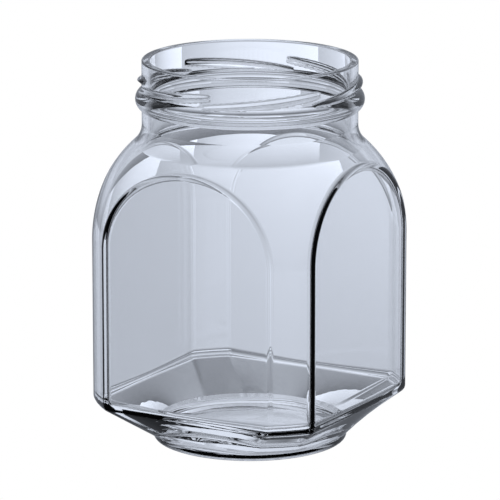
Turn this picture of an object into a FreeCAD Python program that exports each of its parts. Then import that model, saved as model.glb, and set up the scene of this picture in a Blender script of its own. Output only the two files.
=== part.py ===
"""Square glass jar with a round twist-off mouth, one moulded piece of clear glass.

The body is a round, domed form cut by four flat panels.  Each panel meets the dome in an
arch and leaves a narrow round strip at every corner of the jar.  Under the panels the wall
runs in from the square outline to a round foot, and the glass is hollow all the way from
the floor to the mouth.  The mouth carries six slanted lugs for a twist-off cap and, below
them, a round bead.

Millimetres, +Z up.  The origin is the centre of the foot, on the table.
"""
import FreeCAD, Part
import math
import os
from FreeCAD import Vector

# ---- Whole jar -------------------------------------------------------------------------
HEIGHT = 107.9            # table to the top of the lip
ACROSS_FLATS = 71.0       # from one flat panel to the opposite one
CORNER_WIDTH = 13.0       # straight across one round corner strip, edge to edge
WALL = 2.4                # panels, corners and dome
EDGE_ROUND = 2.0          # rounding of the panels' upright and arched edges, outside
INNER_EDGE_ROUND = 2.4    # the same edges on the inside

# ---- Dome: the corners lean in up to the neck ------------------------------------------------
DOME_RADIUS = 36.0        # of the dome's outline
FLARE_RADIUS = 7.0        # hollow curve from the dome up into the neck
NECK_DROP = 18.1          # lip down to the foot of the straight neck

# ---- Foot ------------------------------------------------------------------------------
PANEL_BOTTOM = 12.2       # lower edge of the panels, where the wall turns in
HEEL_ROUND = 2.0          # rounding of that edge, outside
INNER_HEEL_ROUND = 3.0    # the same edge on the inside
FOOT_DIAMETER = 54.4      # round foot
FOOT_HEIGHT = 1.9         # its short upright side
FOOT_ROUND = 1.1          # rounding under the foot
FOOT_HALF_SPAN = 31.0     # degrees of the foot's circle under each half panel
FOOT_EDGE_SPAN = 2.0      # degrees of it under each rounded edge
FOOT_WALL = 1.9           # glass between the foot's side and the round well in the floor
WELL_DEPTH = 2.6          # from the sloping inner wall down to the floor
WELL_ROUND = 1.6          # rounding between the well's side and the floor
FLOOR = 2.8               # glass under the edge of the floor
BEARING_RING = 4.1        # flat ring under the foot that the jar stands on
PUSH_UP = 0.9             # how far the middle of the base stands off the table

# ---- Mouth: finish for a twist-off cap -------------------------------------------------------
MOUTH_DIAMETER = 60.0     # outside of the neck and of the lip
MOUTH_WALL = 2.3          # glass between the outside and the clear opening
LIP_ROUND = 0.5           # rounding of the lip, inside and outside
BEAD_PROUD = 1.8          # how far the round bead stands out
BEAD_HEIGHT = 5.6
BEAD_DROP = 11.0          # lip to the middle of the bead
LUG_COUNT = 6
LUG_PROUD = 1.4           # how far a lug stands out
LUG_HEIGHT = 2.3          # thickness of a lug, up and down
LUG_DROP = 5.45           # lip to the middle of a lug's high end
LUG_FALL = 3.15           # from a lug's high end to its low end
LUG_SPAN = 64.0           # degrees of the mouth that one lug covers
LUG_PHASE = -21.2         # direction of a lug's high end, in degrees from +X
LUG_ROOT = 0.8            # how deep a lug is rooted in the wall

# ---- What follows from them ------------------------------------------------------------------
FLAT = ACROSS_FLATS / 2
CORNER = math.hypot(FLAT, FLAT - CORNER_WIDTH / math.sqrt(2))   # radius of the corner strips
MOUTH = MOUTH_DIAMETER / 2
BORE = MOUTH - MOUTH_WALL
FOOT = FOOT_DIAMETER / 2
WELL = FOOT - FOOT_WALL
WELL_TOP = FLOOR + WELL_DEPTH
NECK_START = HEIGHT - NECK_DROP
DOME_CENTRE = CORNER - DOME_RADIUS
DOME_START = NECK_START - math.sqrt((DOME_RADIUS + FLARE_RADIUS) ** 2
                                    - (MOUTH + FLARE_RADIUS - DOME_CENTRE) ** 2)


def at(r, z):
    """A point of an outline in the plane through the jar's axis."""
    return Vector(r, 0, z)


def polar(radius, angle, z):
    """A point at an angle in degrees round the jar's axis."""
    a = math.radians(angle)
    return Vector(radius * math.cos(a), radius * math.sin(a), z)


def arc(centre, start, end):
    """The short circular edge from start to end about a centre."""
    middle = (start - centre) + (end - centre)
    middle = centre + middle.normalize() * (start - centre).Length
    return Part.Arc(start, middle, end).toShape()


def line(start, end):
    return Part.LineSegment(start, end).toShape()


def revolve(edges):
    """A solid of revolution from an outline that starts and ends on the axis."""
    face = Part.Face(Part.Wire(edges))
    return face.revolve(Vector(0, 0, 0), Vector(0, 0, 1), 360)


def dome_and_neck(inset, neck):
    """Edges of the corner's outline from the dome's start up to the straight neck.

    The dome keeps its centre when it is inset, so the inside of the jar runs parallel to
    the outside.  The hollow flare touches both the dome and the neck.
    """
    dome = DOME_RADIUS - inset
    flare = FLARE_RADIUS + inset
    dome_centre = at(DOME_CENTRE, DOME_START)
    across = neck + flare - DOME_CENTRE
    flare_centre = at(neck + flare, DOME_START + math.sqrt((dome + flare) ** 2 - across ** 2))
    touch = dome_centre + (flare_centre - dome_centre) * (dome / (dome + flare))
    neck_start = at(neck, flare_centre.z)
    edges = [arc(dome_centre, at(CORNER - inset, DOME_START), touch),
             arc(flare_centre, touch, neck_start)]
    return edges, neck_start


def outline(inset, edge_round, z):
    """The square outline of the body at one height, as a wire of 24 edges.

    Each side has two half panels, then a small rounding, two halves of the round corner
    strip and another rounding.
    """
    flat = FLAT - inset
    corner = CORNER - inset
    across = math.sqrt((corner - edge_round) ** 2 - (flat - edge_round) ** 2)
    centre = Vector(across, -(flat - edge_round), z)
    on_flat = Vector(across, -flat, z)
    turn = math.degrees(math.atan2(centre.y, centre.x))
    on_corner = polar(corner, turn, z)
    axis = Vector(0, 0, z)
    quarter = [
        line(Vector(0, -flat, z), on_flat),
        arc(centre, on_flat, on_corner),
        arc(axis, on_corner, polar(corner, -45, z)),
        arc(axis, polar(corner, -45, z), polar(corner, -90 - turn, z)),
        arc(Vector(-centre.y, -centre.x, z), polar(corner, -90 - turn, z),
            Vector(flat, -across, z)),
        line(Vector(flat, -across, z), Vector(flat, 0, z)),
    ]
    edges = []
    for side in range(4):
        for edge in quarter:
            turned = edge.copy()
            turned.rotate(Vector(0, 0, 0), Vector(0, 0, 1), 90 * side)
            edges.append(turned)
    return Part.Wire(edges)


def foot_circle(radius, z):
    """A circle cut into the same 24 pieces as the square outline above it."""
    low, high = -90 + FOOT_HALF_SPAN, -FOOT_HALF_SPAN
    stops = [-90, low, low + FOOT_EDGE_SPAN, -45, high - FOOT_EDGE_SPAN, high, 0]
    edges = []
    for side in range(4):
        for first, last in zip(stops, stops[1:]):
            edges.append(arc(Vector(0, 0, z), polar(radius, first + 90 * side, z),
                             polar(radius, last + 90 * side, z)))
    return Part.Wire(edges)


def level_edges(body, z):
    """The edges of a body that lie level at one height."""
    return [edge for edge in body.Edges
            if abs(edge.BoundBox.ZMax - z) < 1e-4 and edge.BoundBox.ZLength < 1e-4]


def panel_edges(body, flat):
    """The upright and arched edges of the four panels, which lie in the panels' planes."""
    edges = []
    for edge in body.Edges:
        box = edge.BoundBox
        in_x = box.XLength < 1e-3 and abs(abs(box.XMin) - flat) < 1e-3
        in_y = box.YLength < 1e-3 and abs(abs(box.YMin) - flat) < 1e-3
        if box.ZLength > 1.0 and (in_x or in_y):
            edges.append(edge)
    return edges


def body_solid(inset, neck, mouth, bottom, edge_round, heel_round, foot_edges, foot_radius,
               foot_z):
    """The whole outside or, inset by the wall, the whole inside of the jar as a solid."""
    corner, flat = CORNER - inset, FLAT - inset
    curve, neck_start = dome_and_neck(inset, neck)
    upper = revolve([line(at(0, bottom), at(corner, bottom)),
                     line(at(corner, bottom), at(corner, DOME_START))]
                    + curve + mouth(neck_start, bottom))
    square = Part.makeBox(2 * flat, 2 * flat, 2 * HEIGHT, Vector(-flat, -flat, -HEIGHT / 2))
    upper = upper.common(square)
    upper = upper.makeFillet(edge_round, panel_edges(upper, flat))
    heel = Part.makeLoft([foot_circle(foot_radius, foot_z),
                          outline(inset, edge_round, bottom)], True, True)
    body = upper.fuse([heel, revolve(foot_edges)]).removeSplitter()
    return body.makeFillet(heel_round, level_edges(body, bottom))


def mouth_outside(neck_start, bottom):
    """Neck, bead, the wall that carries the lugs, and the lip; then back down the axis."""
    middle = HEIGHT - BEAD_DROP
    low, high = at(MOUTH, middle - BEAD_HEIGHT / 2), at(MOUTH, middle + BEAD_HEIGHT / 2)
    shoulder, lip = at(MOUTH, HEIGHT - LIP_ROUND), at(MOUTH - LIP_ROUND, HEIGHT)
    return [line(neck_start, low),
            Part.Arc(low, at(MOUTH + BEAD_PROUD, middle), high).toShape(),
            line(high, shoulder),
            arc(at(MOUTH - LIP_ROUND, HEIGHT - LIP_ROUND), shoulder, lip),
            line(lip, at(0, HEIGHT)),
            line(at(0, HEIGHT), at(0, bottom))]


def mouth_inside(neck_start, bottom):
    """The bore, opened out by the rounding of the lip, and on up past the lip."""
    above = HEIGHT + LIP_ROUND
    under_lip, lip = at(BORE, HEIGHT - LIP_ROUND), at(BORE + LIP_ROUND, HEIGHT)
    return [line(neck_start, under_lip),
            arc(at(BORE + LIP_ROUND, HEIGHT - LIP_ROUND), under_lip, lip),
            line(lip, at(BORE + LIP_ROUND, above)),
            line(at(BORE + LIP_ROUND, above), at(0, above)),
            line(at(0, above), at(0, bottom))]


def foot_outside():
    """The foot from its top down its side, round under it and over the raised middle."""
    ring = FOOT - FOOT_ROUND
    push = ring - BEARING_RING
    return [line(at(0, FOOT_HEIGHT), at(0, PUSH_UP)),
            Part.Arc(at(0, PUSH_UP), at(push / 2, PUSH_UP * 0.75), at(push, 0)).toShape(),
            line(at(push, 0), at(ring, 0)),
            arc(at(ring, FOOT_ROUND), at(ring, 0), at(FOOT, FOOT_ROUND)),
            line(at(FOOT, FOOT_ROUND), at(FOOT, FOOT_HEIGHT)),
            line(at(FOOT, FOOT_HEIGHT), at(0, FOOT_HEIGHT))]


def well_inside():
    """The round well in the floor, with the floor raised in the middle as the base is."""
    edge = WELL - WELL_ROUND
    middle = at(0, FLOOR + PUSH_UP)
    return [line(at(0, WELL_TOP), middle),
            Part.Arc(middle, at(edge / 2, FLOOR + PUSH_UP * 0.75), at(edge, FLOOR)).toShape(),
            arc(at(edge, FLOOR + WELL_ROUND), at(edge, FLOOR), at(WELL, FLOOR + WELL_ROUND)),
            line(at(WELL, FLOOR + WELL_ROUND), at(WELL, WELL_TOP)),
            line(at(WELL, WELL_TOP), at(0, WELL_TOP))]


def inner_bottom():
    """Height of the inner heel edge, with the wall carried round the outer one."""
    slope = math.atan2(PANEL_BOTTOM - FOOT_HEIGHT, FLAT - FOOT)
    return PANEL_BOTTOM + WALL * (1 / math.cos(slope) - math.tan(slope))


def lug(high_end):
    """One slanted lug: a rounded ridge that fades into the wall at both ends."""
    steps = 12
    sections = []
    for step in range(steps + 1):
        share = step / steps
        swell = math.sin(math.pi * share) ** 0.2 if 0 < step < steps else 0.0
        crest = MOUTH - 0.1 + (LUG_PROUD + 0.1) * swell
        half = LUG_HEIGHT / 2 * (0.35 + 0.65 * swell)
        angle = high_end - LUG_SPAN * share
        z = HEIGHT - LUG_DROP - LUG_FALL * share
        low, top = polar(MOUTH - LUG_ROOT, angle, z - half), polar(MOUTH - LUG_ROOT, angle, z + half)
        ridge = Part.Arc(low, polar(crest, angle, z), top).toShape()
        sections.append(Part.Wire([ridge, line(top, low)]))
    return Part.makeLoft(sections, True, False)


outside = body_solid(0, MOUTH, mouth_outside, PANEL_BOTTOM, EDGE_ROUND, HEEL_ROUND,
                     foot_outside(), FOOT, FOOT_HEIGHT)
inside = body_solid(WALL, BORE, mouth_inside, inner_bottom(), INNER_EDGE_ROUND,
                    INNER_HEEL_ROUND, well_inside(), WELL, WELL_TOP)
lugs = [lug(LUG_PHASE + 360 / LUG_COUNT * number) for number in range(LUG_COUNT)]
jar = outside.fuse(lugs).cut(inside).removeSplitter().Solids[0]

os.makedirs("parts", exist_ok=True)
jar.exportStep("parts/glass_jar.step")
room = inside.common(Part.makeBox(200, 200, HEIGHT, Vector(-100, -100, 0))).Volume
print("glass_jar: valid", jar.isValid(), "faces", len(jar.Faces),
      "dome from %.1f mm, glass %.1f cm3, brimful %.0f ml"
      % (DOME_START, jar.Volume / 1000, room / 1000))
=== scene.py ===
# %% [markdown]
# # A square glass jar with a round twist-off mouth
# The real jar is one gob of soda-lime glass, pressed and then blown in an iron mould.  The
# construction model gives its size and place.  This lesson dresses it: a very even surface,
# because glass shows every dent in the mesh twice, once on the way in and once on the way
# out, and a studio whose bright and dark parts draw the edges.

# %% Load the frame
import math
import bpy
import numpy as np
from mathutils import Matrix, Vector


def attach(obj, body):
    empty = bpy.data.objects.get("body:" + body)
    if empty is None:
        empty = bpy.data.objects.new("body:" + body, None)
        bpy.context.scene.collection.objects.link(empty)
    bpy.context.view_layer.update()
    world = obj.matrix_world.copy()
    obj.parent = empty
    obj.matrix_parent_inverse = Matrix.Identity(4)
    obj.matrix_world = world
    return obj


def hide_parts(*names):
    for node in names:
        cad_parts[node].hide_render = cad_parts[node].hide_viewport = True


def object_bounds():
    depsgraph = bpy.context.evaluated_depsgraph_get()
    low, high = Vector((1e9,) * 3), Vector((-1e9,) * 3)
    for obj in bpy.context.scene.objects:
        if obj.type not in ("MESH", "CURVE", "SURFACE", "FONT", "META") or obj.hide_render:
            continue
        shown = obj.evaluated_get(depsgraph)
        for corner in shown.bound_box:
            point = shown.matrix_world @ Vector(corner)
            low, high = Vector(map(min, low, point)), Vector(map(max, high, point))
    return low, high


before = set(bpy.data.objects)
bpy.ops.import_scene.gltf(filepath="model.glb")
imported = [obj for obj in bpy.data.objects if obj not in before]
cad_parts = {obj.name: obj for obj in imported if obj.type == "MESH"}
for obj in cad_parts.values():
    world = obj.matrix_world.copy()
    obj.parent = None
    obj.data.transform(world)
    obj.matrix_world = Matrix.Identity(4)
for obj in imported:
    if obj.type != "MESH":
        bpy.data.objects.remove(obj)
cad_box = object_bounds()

MM = 0.001
height = (cad_box[1][2] - cad_box[0][2]) / MM
across_flats = (cad_box[1][0] - cad_box[0][0]) / MM
print("jar: %.1f mm high, %.1f mm across the flats" % (height, across_flats))

# %% [markdown]
# ## The sizes
# Two sizes are read from the frame.  The rest are the construction's own values, in
# millimetres, under a maker's names: the wall, the dome, the heel where the panels turn
# under, the foot and the finish, which is what a glass maker calls the mouth.

# %% Sizes
flat = across_flats / 2
corner_width = 13.0
corner = math.hypot(flat, flat - corner_width / math.sqrt(2))
wall = 2.4
dome_radius, flare_radius, neck_drop = 36.0, 7.0, 18.1
edge_round, inner_edge_round = 2.0, 2.4
heel_height, heel_round, inner_heel_round = 12.2, 2.0, 3.0
foot, foot_height, foot_round = 27.2, 1.9, 1.1
foot_half_span, foot_edge_span = math.radians(31.0), math.radians(2.0)
well = foot - 1.9
floor, well_depth, well_round = 2.8, 2.6, 1.6
bearing_ring, push_up = 4.1, 0.9
mouth, lip_round = 30.0, 0.5
bore = mouth - 2.3
bead_proud, bead_height, bead_drop = 1.8, 5.6, 11.0
lug_count, lug_proud, lug_half = 6, 1.4, 1.45
lug_drop, lug_fall = 5.45, 3.15
lug_span, lug_phase = math.radians(64.0), math.radians(-21.2)

dome_centre = corner - dome_radius
dome_start = height - neck_drop - math.sqrt(
    (dome_radius + flare_radius) ** 2 - (mouth + flare_radius - dome_centre) ** 2)
print("corner radius %.2f mm, dome starts at %.2f mm" % (corner, dome_start))

# %% [markdown]
# ## Patches
# A patch is a function of two parameters, worked out for a whole grid at once.  Its normals
# come from the function too, from two small steps across it, and not from the mesh, so a
# flat panel stays optically flat right up to its rounded edge.  All patches are then welded
# into one closed mesh, and every corner of every face keeps the normal of its own patch,
# which leaves a sharp crease only where two patches really meet at an angle.

# %% Patch helpers
patches = []


def stack(x, y, z):
    """Join three arrays of coordinates, stretched to one shape, into points."""
    return np.stack(np.broadcast_arrays(x, y, z), axis=-1).astype(float)


def unit(vectors):
    """Each vector divided by its length."""
    return vectors / np.maximum(np.linalg.norm(vectors, axis=-1, keepdims=True), 1e-12)


def add_patch(shape, u, v, outward, normal=None):
    """Sample shape(u, v) on a grid and keep it.

    The normal is the cross product of the change along u and the change along v, turned to
    agree with outward(points), a rough direction out of the glass.
    """
    u, v = np.meshgrid(np.asarray(u, float), np.asarray(v, float), indexing="ij")
    points = shape(u, v)
    if normal is None:
        step = 1e-5
        lo_u, hi_u = np.clip(u - step, 0, 1), np.clip(u + step, 0, 1)
        lo_v, hi_v = np.clip(v - step, 0, 1), np.clip(v + step, 0, 1)
        normals = unit(np.cross(shape(hi_u, v) - shape(lo_u, v), shape(u, hi_v) - shape(u, lo_v)))
    else:
        normals = unit(normal(u, v))
    rough = outward(points)
    normals = normals * np.where(np.sum(normals * rough, -1, keepdims=True) < 0, -1, 1)
    patches.append((points, normals))
    return points


def even(count):
    """Evenly spaced steps from 0 to 1."""
    return np.linspace(0, 1, count + 1)


def eased(count, power=1.0):
    """Steps from 0 to 1 that crowd together at both ends."""
    t = even(count)
    return (1 - power) * t + power * (1 - np.cos(np.pi * t)) / 2

# %% [markdown]
# ## One eighth of the body
# The body is a round form cut by a square.  Where the two meet, a ball of the edge's radius
# rolls along the crease, and the strip that it touches is the rounded edge.  So the edge is
# a patch of its own, and the panel and the dome end exactly where the ball touches them.
# One eighth of the jar, from the middle of a panel to the middle of a corner, is enough:
# the rest are mirrored and turned copies.
#
# The dome's patch is laid out in two angles, round the axis and up the dome.  One of its
# sides follows the arch, which keeps the grid's lines along the crease instead of across it.

# %% The body's patches
panel_steps, edge_steps, rise_steps, ring_steps = 8, 8, 3, 38
arch_steps, upright_steps = 46, 5


class Body:
    """The outside of the body or, inset by the wall, its inside; all in one eighth."""

    def __init__(self, inset, radius, neck, bottom, heel, foot_edge, foot_top):
        self.flat, self.corner = flat - inset, corner - inset
        self.dome, self.round = dome_radius - inset, radius
        self.bottom, self.heel = bottom, heel
        self.foot_edge, self.foot_top = foot_edge, foot_top
        flare = flare_radius + inset
        rise = math.sqrt((self.dome + flare) ** 2 - (neck + flare - dome_centre) ** 2)
        self.flare, self.flare_centre = flare, (neck + flare, dome_start + rise)
        self.touch = math.atan2(rise, neck + flare - dome_centre)
        self.apex = math.acos((self.flat - radius - dome_centre) / (self.dome - radius))
        self.springing = math.acos((self.flat - radius) / (self.corner - radius))
        self.sign = 1 if inset == 0 else -1

    def outward(self, points):
        """Away from the jar's axis outside, towards it inside."""
        return self.sign * (points - [0, 0, dome_start * 0.8])

    def ball(self, u):
        """Place and lean of the rolling ball at u of the way up the arch.

        The ball's centre stays one radius inside the panel and one radius inside the dome.
        """
        lean = self.apex * np.sin(np.pi / 2 * u)
        reach = dome_centre + (self.dome - self.round) * np.cos(lean)
        turn = np.arccos(np.clip((self.flat - self.round) / reach, -1, 1))
        z = dome_start + (self.dome - self.round) * np.sin(lean)
        return lean, turn, stack(reach * np.cos(turn), reach * np.sin(turn), z)

    def on_dome(self, turn, lean):
        """A point of the dome from its angle round the axis and its angle up the dome."""
        reach = dome_centre + self.dome * np.cos(lean)
        return stack(reach * np.cos(turn), reach * np.sin(turn),
                     dome_start + self.dome * np.sin(lean))

    def panel_arch(self, u, v):
        """Straight lines from the panel's middle line out to the arch."""
        lean, turn, centre = self.ball(u)
        top = dome_start + (self.dome - self.round) * math.sin(self.apex)
        middle = stack(self.flat, 0 * u, dome_start + (top - dome_start) * u)
        edge = centre + [self.round, 0, 0]
        return middle + (edge - middle) * v[..., None]

    def edge_arch(self, u, v):
        """The ball's centre plus its radius, turned from the panel's to the dome's normal."""
        return self.ball(u)[2] + self.round * self.edge_normal(u, v)

    def edge_normal(self, u, v):
        """An even turn from the panel's normal to the dome's normal."""
        lean, turn, _ = self.ball(u)
        dome = stack(np.cos(lean) * np.cos(turn), np.cos(lean) * np.sin(turn), np.sin(lean))
        panel = stack(1, 0 * u, 0 * u)
        angle = np.arccos(np.clip(dome[..., :1], -1, 1))
        v = v[..., None]
        return (np.sin((1 - v) * angle) * panel + np.sin(v * angle) * dome) / np.sin(angle)

    def dome_arch(self, u, v):
        """Two angles on the dome, filled in between the arch and three other sides.

        The sides are the arch, the middle of the corner, the springing line and a top
        side that climbs from the arch's top to the flare and then runs round it.
        """
        quarter = math.pi / 4
        lean, turn, _ = self.ball(u)
        climb = rise_steps / (rise_steps + ring_steps)
        top_turn = quarter * np.clip((v - climb) / (1 - climb), 0, 1)
        top_lean = self.apex + (self.touch - self.apex) * np.clip(v / climb, 0, 1)
        low_turn = self.springing + (quarter - self.springing) * v
        out_turn = ((1 - v) * turn + v * quarter + (1 - u) * low_turn + u * top_turn
                    - (1 - u) * ((1 - v) * self.springing + v * quarter) - u * v * quarter)
        out_lean = ((1 - v) * lean + v * self.touch * u + u * top_lean
                    - u * ((1 - v) * self.apex + v * self.touch))
        return self.on_dome(out_turn, out_lean)

    def outline(self, part, v):
        """Plan of the upright wall: 0 the half panel, 1 its rounded edge, 2 the corner."""
        side = (self.corner - self.round) * math.sin(self.springing)
        if part == 0:
            return stack(self.flat, side * v, 0 * v)
        if part == 1:
            turn = self.springing * v
            return stack(self.flat - self.round + self.round * np.cos(turn),
                         side + self.round * np.sin(turn), 0 * v)
        turn = self.springing + (math.pi / 4 - self.springing) * v
        return stack(self.corner * np.cos(turn), self.corner * np.sin(turn), 0 * v)

    def foot_turn(self, part, v):
        """Angle on the foot's circle under the same three parts of the outline."""
        stops = [0, foot_half_span, foot_half_span + foot_edge_span, math.pi / 4]
        return stops[part] + (stops[part + 1] - stops[part]) * v

    def heel_line(self, part, v):
        """Heel corner, direction of the sloping line to the foot, and its rounding."""
        start = self.outline(part, v) + [0, 0, self.bottom]
        turn = self.foot_turn(part, v)
        end = stack(self.foot_edge * np.cos(turn), self.foot_edge * np.sin(turn), self.foot_top)
        slope = unit(end - start)
        bend = np.arccos(np.clip(-slope[..., 2:], -1, 1))
        return start, end, slope, bend, self.heel * np.tan(bend / 2)

    def upright(self, part):
        """The straight wall from the heel's rounding up to where the dome starts."""
        def shape(u, v):
            start, _, _, _, cut = self.heel_line(part, v)
            low = self.bottom + cut[..., 0]
            return self.outline(part, v) + stack(0 * u, 0 * u, low + (dome_start - low) * u)
        return shape

    def heel_arc(self, part):
        """An arc that leaves the wall straight down and joins the sloping line."""
        def shape(u, v):
            start, _, slope, bend, cut = self.heel_line(part, v)
            down = np.array([0, 0, -1.0])
            side = unit(slope - np.sum(slope * down, -1, keepdims=True) * down)
            angle = bend * u[..., None]
            return (start - cut * down + self.heel * (np.sin(angle) * down
                                                      + (1 - np.cos(angle)) * side))
        return shape

    def heel_slope(self, part):
        """Straight lines from the heel's rounding to the foot's circle."""
        def shape(u, v):
            start, end, slope, _, cut = self.heel_line(part, v)
            first = start + slope * cut
            return first + (end - first) * u[..., None]
        return shape

    def add(self):
        """Sample every patch of this eighth."""
        arch = even(arch_steps)
        add_patch(self.panel_arch, arch, eased(panel_steps), self.outward,
                  lambda u, v: stack(1, 0 * u, 0 * u))
        add_patch(self.edge_arch, arch, even(edge_steps), self.outward, self.edge_normal)
        add_patch(self.dome_arch, arch, even(rise_steps + ring_steps), self.outward,
                  lambda u, v: self.dome_arch(u, v) - self.dome_axis(u, v))
        spans = [eased(panel_steps), even(edge_steps), even(rise_steps + ring_steps)]
        for part, span in enumerate(spans):
            add_patch(self.upright(part), even(upright_steps), span, self.outward)
            add_patch(self.heel_arc(part), even(7), span, self.outward)
            add_patch(self.heel_slope(part), even(5), span, self.outward)

    def dome_axis(self, u, v):
        """The middle of the dome's circle on the same side of the jar as each point."""
        point = self.dome_arch(u, v)
        turn = np.arctan2(point[..., 1], point[..., 0])
        return stack(dome_centre * np.cos(turn), dome_centre * np.sin(turn), dome_start)


slope = math.atan2(heel_height - foot_height, flat - foot)
inner_heel = heel_height + wall * (1 / math.cos(slope) - math.tan(slope))
outside = Body(0, edge_round, mouth, heel_height, heel_round, foot, foot_height)
inside = Body(wall, inner_edge_round, bore, inner_heel, inner_heel_round, well, floor + well_depth)
outside.add()
inside.add()
print("body patches in one eighth:", len(patches))

# %% [markdown]
# ## Foot and mouth
# Both are round, so each is an outline turned about the axis.  The outline is a chain of
# lines and arcs, and each link is one patch.  The links below the heel follow the uneven
# steps that the heel has round the foot; the links of the mouth take even steps.
#
# The lugs are the slanted ridges that the cap's claws ride on.  They are a swelling of the
# wall between bead and lip: each starts high, falls to the next one's start and fades out
# at both ends.

# %% Round links
def turned(outline, turn):
    """Turn an outline (radius, height) of u about the axis through the angles of v."""
    def shape(u, v):
        radius, z = outline(u)
        angle = turn(v)
        return stack(radius * np.cos(angle), radius * np.sin(angle), z)
    return shape


def straight(r0, z0, r1, z1):
    """A straight link from one point to another."""
    return lambda u: (r0 + (r1 - r0) * u, z0 + (z1 - z0) * u)


def bow(r, z, radius, start, end):
    """A circular link about (r, z) from one angle to another, in degrees."""
    def outline(u):
        angle = np.radians(start + (end - start) * u)
        return r + radius * np.cos(angle), z + radius * np.sin(angle)
    return outline


def mouth_turn(v):
    """Even steps round an eighth of the mouth."""
    return math.pi / 4 * v


def add_round(outline, rows, turn, span, out_r, out_z):
    """Turn one link; (out_r, out_z) is the rough direction out of the glass."""
    def outward(points):
        side = unit(points * [1, 1, 0])
        return side * out_r + [0, 0, out_z]
    add_patch(turned(outline, turn), rows, span, outward)


def add_foot_links(links, body):
    """Turn the foot's links under all three parts of the outline."""
    spans = [eased(panel_steps), even(edge_steps), even(rise_steps + ring_steps)]
    for part, span in enumerate(spans):
        def turn(v, part=part):
            return body.foot_turn(part, v)
        for outline, rows, out_r, out_z in links:
            add_round(outline, rows, turn, span, out_r, out_z)


ring = foot - foot_round
push = ring - bearing_ring
edge = well - well_round
push_radius = (push ** 2 + push_up ** 2) / (2 * push_up)
push_angle = math.degrees(math.asin(push / push_radius))
floor_radius = (edge ** 2 + push_up ** 2) / (2 * push_up)
floor_angle = math.degrees(math.asin(edge / floor_radius))
add_foot_links([
    (straight(foot, foot_height, foot, foot_round), even(1), 1, 0),
    (bow(ring, foot_round, foot_round, 0, -90), even(6), 1, -1),
    (straight(ring, 0, push, 0), even(1), 0, -1),
    (bow(0, push_up - push_radius, push_radius, 90 - push_angle, 90), even(5), 0, -1),
], outside)
add_foot_links([
    (straight(well, floor + well_depth, well, floor + well_round), even(1), -1, 0),
    (bow(edge, floor + well_round, well_round, 0, -90), even(6), -1, 1),
    (bow(0, floor + push_up - floor_radius, floor_radius, 90 - floor_angle, 90), even(5), 0, 1),
], inside)

# %% Mouth
bead_z = height - bead_drop
bead_radius = ((bead_height / 2) ** 2 + bead_proud ** 2) / (2 * bead_proud)
bead_angle = math.degrees(math.asin(bead_height / 2 / bead_radius))
bead_top = bead_z + bead_height / 2
round_span = even(ring_steps)


def flare_link(body, neck):
    """The hollow curve from the dome's touching point up to the neck."""
    r, z = body.flare_centre
    return bow(r, z, body.flare, math.degrees(body.touch) - 180, -180)


def lug_swell(turn, z):
    """Height of the lugs: a smooth ridge across, with softened pointed ends along.

    A lug is longer than its share of the circle, so the end of each runs on under the
    start of the next; both are worked out and the higher one counts.
    """
    pitch = 2 * np.pi / lug_count
    first = np.mod(lug_phase - turn, pitch)
    height_of = 0
    for along in (first / lug_span, (first + pitch) / lug_span):
        share = np.clip(along, 0, 1)
        ridge = height - lug_drop - lug_fall * share
        swell = np.abs(np.sin(np.pi * share)) ** 0.2 * (along < 1)
        width = lug_half * (0.35 + 0.65 * swell)
        across = np.clip(np.abs(z - ridge) / width, 0, 1)
        height_of = np.maximum(height_of, lug_proud * swell * (np.cos(np.pi * across) + 1) / 2)
    return height_of


def bead_swell(z):
    """Height of the bead: the part of its circle that stands out of the neck."""
    reach = np.clip(bead_radius ** 2 - (z - bead_z) ** 2, 0, None)
    return np.clip(bead_proud - bead_radius + np.sqrt(reach), 0, None)


def finish_wall(turn_start, rows):
    """The wall of the mouth over some heights: whichever of bead and lug stands out more."""
    def shape(u, v):
        z = rows(u)
        turn = turn_start + math.pi / 4 * v
        radius = mouth + np.maximum(bead_swell(z), lug_swell(turn, z))
        return stack(radius * np.cos(turn), radius * np.sin(turn), z)
    return shape


def bead_rows(u):
    """Heights over the bead at even angles of its circle."""
    return bead_z + bead_radius * np.sin(math.radians(bead_angle) * (2 * u - 1))


def lug_rows(u):
    """Even heights from the bead's top to the lip."""
    return bead_top + (height - lip_round - bead_top) * u


mouth_links = [
    (flare_link(outside, mouth), even(9), 1, 1),
    (straight(mouth, outside.flare_centre[1], mouth, bead_z - bead_height / 2), even(2), 1, 0),
    (bow(mouth - lip_round, height - lip_round, lip_round, 0, 90), even(6), 1, 1),
    (straight(mouth - lip_round, height, bore + lip_round, height), even(1), 0, 1),
    (bow(bore + lip_round, height - lip_round, lip_round, 90, 180), even(6), -1, 1),
    (straight(bore, height - lip_round, bore, inside.flare_centre[1]), even(6), -1, 0),
    (flare_link(inside, bore), even(8), -1, -1),
]
for outline, rows, out_r, out_z in mouth_links:
    add_round(outline, rows, mouth_turn, round_span, out_r, out_z)
eighth = list(patches)
print("patches in one eighth with foot and mouth:", len(eighth))

# %% [markdown]
# ## Weld
# Eight copies make the jar: four turns, each plain and mirrored.  Points that fall on the
# same micrometre become one, so the mesh is closed.  A face that shrank to a triangle at a
# pole or at the top of an arch loses its double corner.

# %% Copies and weld
def copy_eighth(points, vectors, quarter, mirror):
    """Mirror a patch in the panel's middle plane if asked, then turn it by quarters."""
    angle = quarter * math.pi / 2
    turn = np.array([[math.cos(angle), -math.sin(angle), 0],
                     [math.sin(angle), math.cos(angle), 0], [0, 0, 1]])
    flip = np.array([1, -1, 1]) if mirror else np.array([1, 1, 1])
    return (points * flip) @ turn.T, (vectors * flip) @ turn.T


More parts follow.
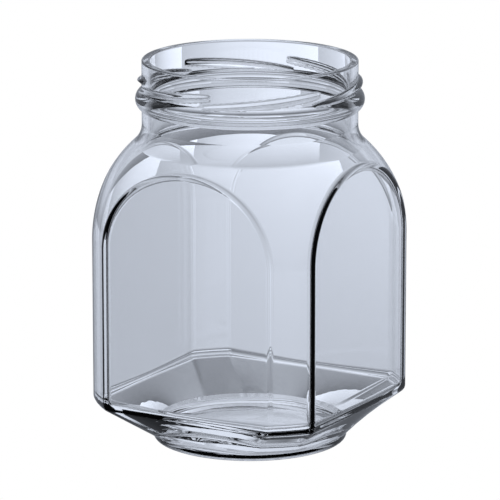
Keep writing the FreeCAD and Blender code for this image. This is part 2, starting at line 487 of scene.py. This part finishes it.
def all_around():
    """Every patch of the whole jar; the lug wall is made where it stands."""
    whole = []
    for quarter in range(4):
        for mirror in (False, True):
            whole += [copy_eighth(p, n, quarter, mirror) for p, n in eighth]
    patches.clear()
    for number in range(8):
        for rows, count in ((bead_rows, 16), (lug_rows, 34)):
            add_patch(finish_wall(number * math.pi / 4, rows), even(count), round_span,
                      lambda points: unit(points * [1, 1, 0]))
    return whole + list(patches)


def corners_of(points, normals, first):
    """Quads of a grid, as four corner indices each."""
    rows, columns = points.shape[:2]
    index = first + np.arange(rows * columns).reshape(rows, columns)
    quads = np.stack([index[:-1, :-1], index[1:, :-1], index[1:, 1:], index[:-1, 1:]], -1)
    return quads.reshape(-1, 4)


def weld(whole):
    """Join all patches into vertices, faces and corner normals."""
    points = np.concatenate([p.reshape(-1, 3) for p, _ in whole])
    normals = np.concatenate([n.reshape(-1, 3) for _, n in whole])
    starts = np.cumsum([0] + [p.shape[0] * p.shape[1] for p, _ in whole])
    quads = np.concatenate([corners_of(p, n, s) for (p, n), s in zip(whole, starts)])
    _, keep, joined = np.unique(np.round(points / 1e-3 + 0.37).astype(np.int64), axis=0,
                                return_index=True, return_inverse=True)
    joined = joined.reshape(-1)
    a, b, c, d = (points[quads[:, k]] for k in range(4))
    facing = np.sum(np.cross(c - a, d - b) * normals[quads].sum(1), -1)
    quads = np.where(facing[:, None] < 0, quads[:, ::-1], quads)
    return points[keep], joined, quads, normals


whole = all_around()
points, joined, quads, normals = weld(whole)
corners = joined[quads]
same = corners == np.roll(corners, -1, axis=1)
whole_quads = ~same.any(axis=1)
triangles = same.sum(axis=1) == 1
keep_corner = ~same[triangles]
triangle_loops = quads[triangles][keep_corner].reshape(-1, 3)
quad_loops = quads[whole_quads]
print("vertices", len(points), "quads", len(quad_loops), "triangles", len(triangle_loops))

# %% Mesh
loops = np.concatenate([quad_loops.reshape(-1), triangle_loops.reshape(-1)])
sizes = np.concatenate([np.full(len(quad_loops), 4), np.full(len(triangle_loops), 3)])
faces = np.split(joined[loops], np.cumsum(sizes)[:-1])
mesh = bpy.data.meshes.new("jar_glass")
mesh.from_pydata((points * MM).tolist(), [], [face.tolist() for face in faces])
mesh.polygons.foreach_set("use_smooth", np.ones(len(faces), bool))
mesh.normals_split_custom_set(normals[loops].tolist())
mesh.update()
print("mesh valid:", not mesh.validate(verbose=False), "faces", len(mesh.polygons))
jar = bpy.data.objects.new("jar_glass", mesh)
bpy.context.collection.objects.link(jar)
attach(jar, "root")
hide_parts("glass_jar")

# %% [markdown]
# ## Glass
# The real jar is soda-lime container glass without colour: a gob is pressed into a blank,
# then blown against a polished iron mould, and the lip is fire polished.  It could be shown
# by a thin shell with some shine, but then the thick heel and the rounded edges would lose
# their dark lines.  Here the whole body of glass bends the light, as in the real one.
#
# A blown surface is never quite true.  The mould's cooling marks leave waves some 9 mm long
# and two thousandths of a millimetre deep, and the iron's own polish leaves finer ones.
# They are made of two noises in the object's own coordinates, so they stay on the glass.

# %% Glass
def linear(code):
    """An sRGB hex colour as the linear colour that the renderer works in."""
    levels = [int(code[i:i + 2], 16) / 255 for i in (1, 3, 5)]
    return tuple(c / 12.92 if c <= 0.04045 else ((c + 0.055) / 1.055) ** 2.4 for c in levels) + (1.0,)


def add_node(tree, kind, inputs=None, **settings):
    """Add a node, set its properties, and set its inputs or link them from other nodes."""
    node = tree.nodes.new(kind)
    for name, value in settings.items():
        setattr(node, name, value)
    for name, value in (inputs or {}).items():
        if isinstance(value, bpy.types.NodeSocket):
            tree.links.new(value, node.inputs[name])
        else:
            node.inputs[name].default_value = value
    return node


wave_length, wave_depth = 9.0, 0.002
ripple_length, ripple_depth = 2.2, 0.0002
glass = bpy.data.materials.new("soda_lime_container_glass")
glass.use_nodes = True
tree = glass.node_tree
tree.nodes.clear()
place = add_node(tree, "ShaderNodeTexCoord").outputs["Object"]
waves = add_node(tree, "ShaderNodeTexNoise", {
    "Vector": place, "Scale": 1 / (wave_length * MM), "Detail": 1.0})
ripples = add_node(tree, "ShaderNodeTexNoise", {
    "Vector": place, "Scale": 1 / (ripple_length * MM), "Detail": 1.0})
wavy = add_node(tree, "ShaderNodeBump", {
    "Strength": 1.0, "Distance": wave_depth * MM, "Height": waves.outputs[0]})
polish = add_node(tree, "ShaderNodeBump", {
    "Strength": 1.0, "Distance": ripple_depth * MM, "Height": ripples.outputs[0],
    "Normal": wavy.outputs[0]})
# IOR 1.52 and no roughness: sharp lines behind the glass, and black bands at its edges.
body = add_node(tree, "ShaderNodeBsdfPrincipled", {
    "Base Color": linear("#FFFFFF"), "Roughness": 0.0, "IOR": 1.52,
    "Transmission Weight": 1.0, "Normal": polish.outputs[0]})
add_node(tree, "ShaderNodeOutputMaterial", {"Surface": body.outputs["BSDF"]})
mesh.materials.append(glass)
print("waves", wave_length, "mm long,", wave_depth, "mm deep; ripples", ripple_length, "mm long")

# %% [markdown]
# ## What the glass sees
# Clear glass has no look of its own: it shows what stands around it, bent by its walls.
# The jar stands before a white background with rows of soft light panels behind and below
# it.  All of them give off one cool white, so the room is set by brightness alone, in
# stops, as a camera counts light: one stop down is half of it.  A panel is a stop down at
# its middle and three at its foot, and its left side starts a stop down.  The dark feet
# draw the lines round the neck and the dome.
#
# The grid is a function of the direction only: the turn round the jar and the rise above
# the horizon, both cut into tiles.  Real panels would be some meshes more, but they would
# also stand in the camera's view.

# %% The light panels
camera_turn, camera_tilt = math.radians(30.15), math.radians(13.6)
panel_wide, row_tall, gap_rise = 5.45, 12.9, -9.6
cool_white, lamp_strength = "#E8F0FF", 1.4
right_row = [(0.0, 0.0), (0.5, 1.0), (1.0, 3.0)]
left_row = [(0.0, 1.0)] + right_row[1:]
world = bpy.data.worlds.new("studio")
bpy.context.scene.world = world
world.use_nodes = True
tree = world.node_tree
tree.nodes.clear()


def dimmed(stops_down):
    """The cool white light this many stops down: colour / 2 ** stops_down."""
    return [channel / 2 ** stops_down for channel in linear(cool_white)[:3]] + [1.0]


def set_stops(ramp, steps):
    """Give a colour ramp its (place, stops down) steps, and return its colour."""
    elements = ramp.color_ramp.elements
    elements[0].position, elements[0].color = steps[0][0], dimmed(steps[0][1])
    elements[1].position, elements[1].color = steps[-1][0], dimmed(steps[-1][1])
    for position, stops_down in steps[1:-1]:
        elements.new(position).color = dimmed(stops_down)
    return ramp.outputs["Color"]


def place_in_tile(angle, size, zero):
    """How far an angle lies along its own tile: the part of (zero - angle) / size below 1."""
    steps = add_node(tree, "ShaderNodeMath", {
        0: angle, 1: -1 / math.radians(size), 2: zero / size + 200}, operation="MULTIPLY_ADD")
    return add_node(tree, "ShaderNodeMath", {0: steps.outputs[0]}, operation="FRACT").outputs[0]


way = add_node(tree, "ShaderNodeTexCoord").outputs["Generated"]
split = add_node(tree, "ShaderNodeSeparateXYZ", {0: way})
turn_of = add_node(tree, "ShaderNodeMath", {0: split.outputs["Y"], 1: split.outputs["X"]},
                   operation="ARCTAN2").outputs[0]
rise_of = add_node(tree, "ShaderNodeMath", {0: split.outputs["Z"]}, operation="ARCSINE").outputs[0]
behind = math.degrees(math.atan2(math.cos(camera_turn), -math.sin(camera_turn)))
across = place_in_tile(turn_of, panel_wide, behind + panel_wide / 2)
down = place_in_tile(rise_of, row_tall, gap_rise)
left = set_stops(add_node(tree, "ShaderNodeValToRGB", {"Fac": down}), left_row)
right = set_stops(add_node(tree, "ShaderNodeValToRGB", {"Fac": down}), right_row)
tiles = add_node(tree, "ShaderNodeMix", {0: across, 6: left, 7: right}, data_type="RGBA")
print("panels", panel_wide, "by", row_tall, "degrees; straight behind is", round(behind, 2))

# %% [markdown]
# ## Beside, above and below the panels
# Away from the panels the room is plain.  It is dark just under their lowest row, light
# again on the table, and grey to white above.  The tiles fade into it with the rise, and
# partly with the distance to either side.  Two black cards stand far left and far right,
# as is usual when glass is lit: they give the rounded edges their black lines.  The room is
# set for this one camera.  Seen from the side, a card stands straight behind the jar, which
# then looks nearly black.

# %% The room
card_start, card_end = 0.5, 0.8
room_light = [(0.0, 0.5), (0.15, 0.5), (0.25, 3.0), (0.35, 1.0), (0.75, 1.0), (1.0, 0.0)]
height_of = add_node(tree, "ShaderNodeMath", {0: split.outputs["Z"], 1: 0.5, 2: 0.5},
                     operation="MULTIPLY_ADD").outputs[0]
room = set_stops(add_node(tree, "ShaderNodeValToRGB", {"Fac": height_of}), room_light)
sideways = add_node(tree, "ShaderNodeVectorMath", {
    0: way, 1: (math.cos(camera_turn), math.sin(camera_turn), 0)}, operation="DOT_PRODUCT")
aside = add_node(tree, "ShaderNodeMath", {0: sideways.outputs["Value"]}, operation="ABSOLUTE").outputs[0]
low_end = add_node(tree, "ShaderNodeMapRange", {
    "Value": rise_of, "From Min": math.radians(-30), "From Max": math.radians(-26),
    "To Min": 0.0, "To Max": 1.0})
high_end = add_node(tree, "ShaderNodeMapRange", {
    "Value": rise_of, "From Min": math.radians(-3), "From Max": math.radians(5),
    "To Min": 1.0, "To Max": 0.3})
side_end = add_node(tree, "ShaderNodeMapRange", {
    "Value": aside, "From Min": 0.24, "From Max": 0.55, "To Min": 1.0, "To Max": 0.5})
tall = add_node(tree, "ShaderNodeMath", {0: low_end.outputs[0], 1: high_end.outputs[0]},
                operation="MINIMUM")
inside_grid = add_node(tree, "ShaderNodeMath", {0: tall.outputs[0], 1: side_end.outputs[0]},
                       operation="MULTIPLY")
grid = add_node(tree, "ShaderNodeMix", {0: inside_grid.outputs[0], 6: room, 7: tiles.outputs[2]},
                data_type="RGBA")
cards = add_node(tree, "ShaderNodeMapRange", {
    "Value": aside, "From Min": card_start, "From Max": card_end, "To Min": 1.0, "To Max": 0.0})
print("cards start", round(math.degrees(math.asin(card_start)), 1), "degrees to either side")

# %% [markdown]
# ## Which ray sees what
# A ray that left the glass by refraction sees the grid, and a ray reflected off the outside sees a plain
# gradient, from a dim table to a bright ceiling, which is dark on the camera's side of the room.  Camera
# rays and diffuse rays see plain white.
#
# A ray that is caught in the glass by total reflection runs on and on, and the real glass takes only a
# little of it at each centimetre.  Here the world's light fades to nothing between seven and eleven
# turns instead: painted shade that stands in for dark surroundings and helps to make the black bands
# along the rounded edges and the heel.  The painted shade is made by the number of turns, because the
# renderer counts these anyway.

# %% The world
# Ray depths over which the world's light fades to nothing: painted shade for the black bands at the
# edges and the heel.
first_shaded_turn, last_turn = 7.0, 11.0
mirrored_light = [(0.0, 2.5), (0.5, 1.0), (1.0, 0.0)]
path = add_node(tree, "ShaderNodeLightPath")
# Painted shade: the light dims with the number of turns, standing in for dark surroundings.
turn_shaded_strength = add_node(tree, "ShaderNodeMapRange", {
    "Value": path.outputs["Ray Depth"], "From Min": first_shaded_turn, "From Max": last_turn,
    "To Min": lamp_strength, "To Max": 0.0})
brightness = add_node(tree, "ShaderNodeMath", {0: turn_shaded_strength.outputs[0], 1: cards.outputs[0]},
                      operation="MULTIPLY")
through = add_node(tree, "ShaderNodeBackground", {"Color": grid.outputs[2],
                                                  "Strength": brightness.outputs[0]})
towards = add_node(tree, "ShaderNodeVectorMath", {
    0: way, 1: (math.sin(camera_turn), -math.cos(camera_turn), 0)}, operation="DOT_PRODUCT")
front = add_node(tree, "ShaderNodeMapRange", {
    "Value": towards.outputs["Value"], "From Min": -0.5, "From Max": 0.0, "To Min": 1.0,
    "To Max": 0.1})
gradient = set_stops(add_node(tree, "ShaderNodeValToRGB", {"Fac": height_of}), mirrored_light)
mirrored = add_node(tree, "ShaderNodeBackground", {"Color": gradient, "Strength": front.outputs[0]})
glass_sees = add_node(tree, "ShaderNodeMixShader", {
    0: path.outputs["Is Transmission Ray"], 1: mirrored.outputs[0], 2: through.outputs[0]})
white = add_node(tree, "ShaderNodeBackground", {"Color": linear("#FFFFFF"), "Strength": 1.2})
plain = add_node(tree, "ShaderNodeMath", {0: path.outputs["Is Camera Ray"],
                                          1: path.outputs["Is Diffuse Ray"]}, operation="MAXIMUM")
surroundings = add_node(tree, "ShaderNodeMixShader", {
    0: plain.outputs[0], 1: glass_sees.outputs[0], 2: white.outputs[0]})
add_node(tree, "ShaderNodeOutputWorld", {"Surface": surroundings.outputs[0]})
bpy.context.scene.view_settings.view_transform = "Standard"
print("world nodes", len(tree.nodes))

# %% [markdown]
# ## Paper
# The jar stands on a white sheet that is lit until it is pure white, so it shows neither a
# horizon nor a shadow.  A sheet that gives off its own white is the plain way to that: its
# brightness doesn't depend on any lamp.  Rays that met the glass don't see the sheet, and
# find the world's light in its place.

# %% Paper
paper_half = 2.0
sheet_mesh = bpy.data.meshes.new("background_paper")
sheet_mesh.from_pydata([(-paper_half, -paper_half, 0), (paper_half, -paper_half, 0),
                        (paper_half, paper_half, 0), (-paper_half, paper_half, 0)], [],
                       [(0, 1, 2, 3)])
sheet = bpy.data.objects.new("background_paper", sheet_mesh)
bpy.context.collection.objects.link(sheet)
paper = bpy.data.materials.new("white_background_paper")
paper.use_nodes = True
tree = paper.node_tree
tree.nodes.clear()
# Only an emission: to the eye an even white without any shading.
glow = add_node(tree, "ShaderNodeEmission", {"Color": linear("#FFFFFF")})
add_node(tree, "ShaderNodeOutputMaterial", {"Surface": glow.outputs[0]})
sheet_mesh.materials.append(paper)
sheet.visible_transmission = False
sheet.visible_glossy = False
print("paper", 2 * paper_half, "m wide")

# %% [markdown]
# ## Camera
# The jar is seen with one corner turned towards the eye, thirty degrees off a panel, and
# from a little above, through a long lens that keeps its upright edges nearly parallel.

# %% Camera
away, aim = 1.2, Vector((0, 0, 0.0536))
camera_data = bpy.data.cameras.new("camera")
camera = bpy.data.objects.new("camera", camera_data)
bpy.context.collection.objects.link(camera)
back = Vector((math.sin(camera_turn) * math.cos(camera_tilt),
               -math.cos(camera_turn) * math.cos(camera_tilt), math.sin(camera_tilt)))
camera.location = aim + back * away
camera.rotation_euler = back.to_track_quat("Z", "Y").to_euler()
camera_data.lens = 309.6
camera_data.sensor_width = 36
camera_data.clip_end = 20
bpy.context.scene.camera = camera
print("camera", [round(c, 3) for c in camera.location])
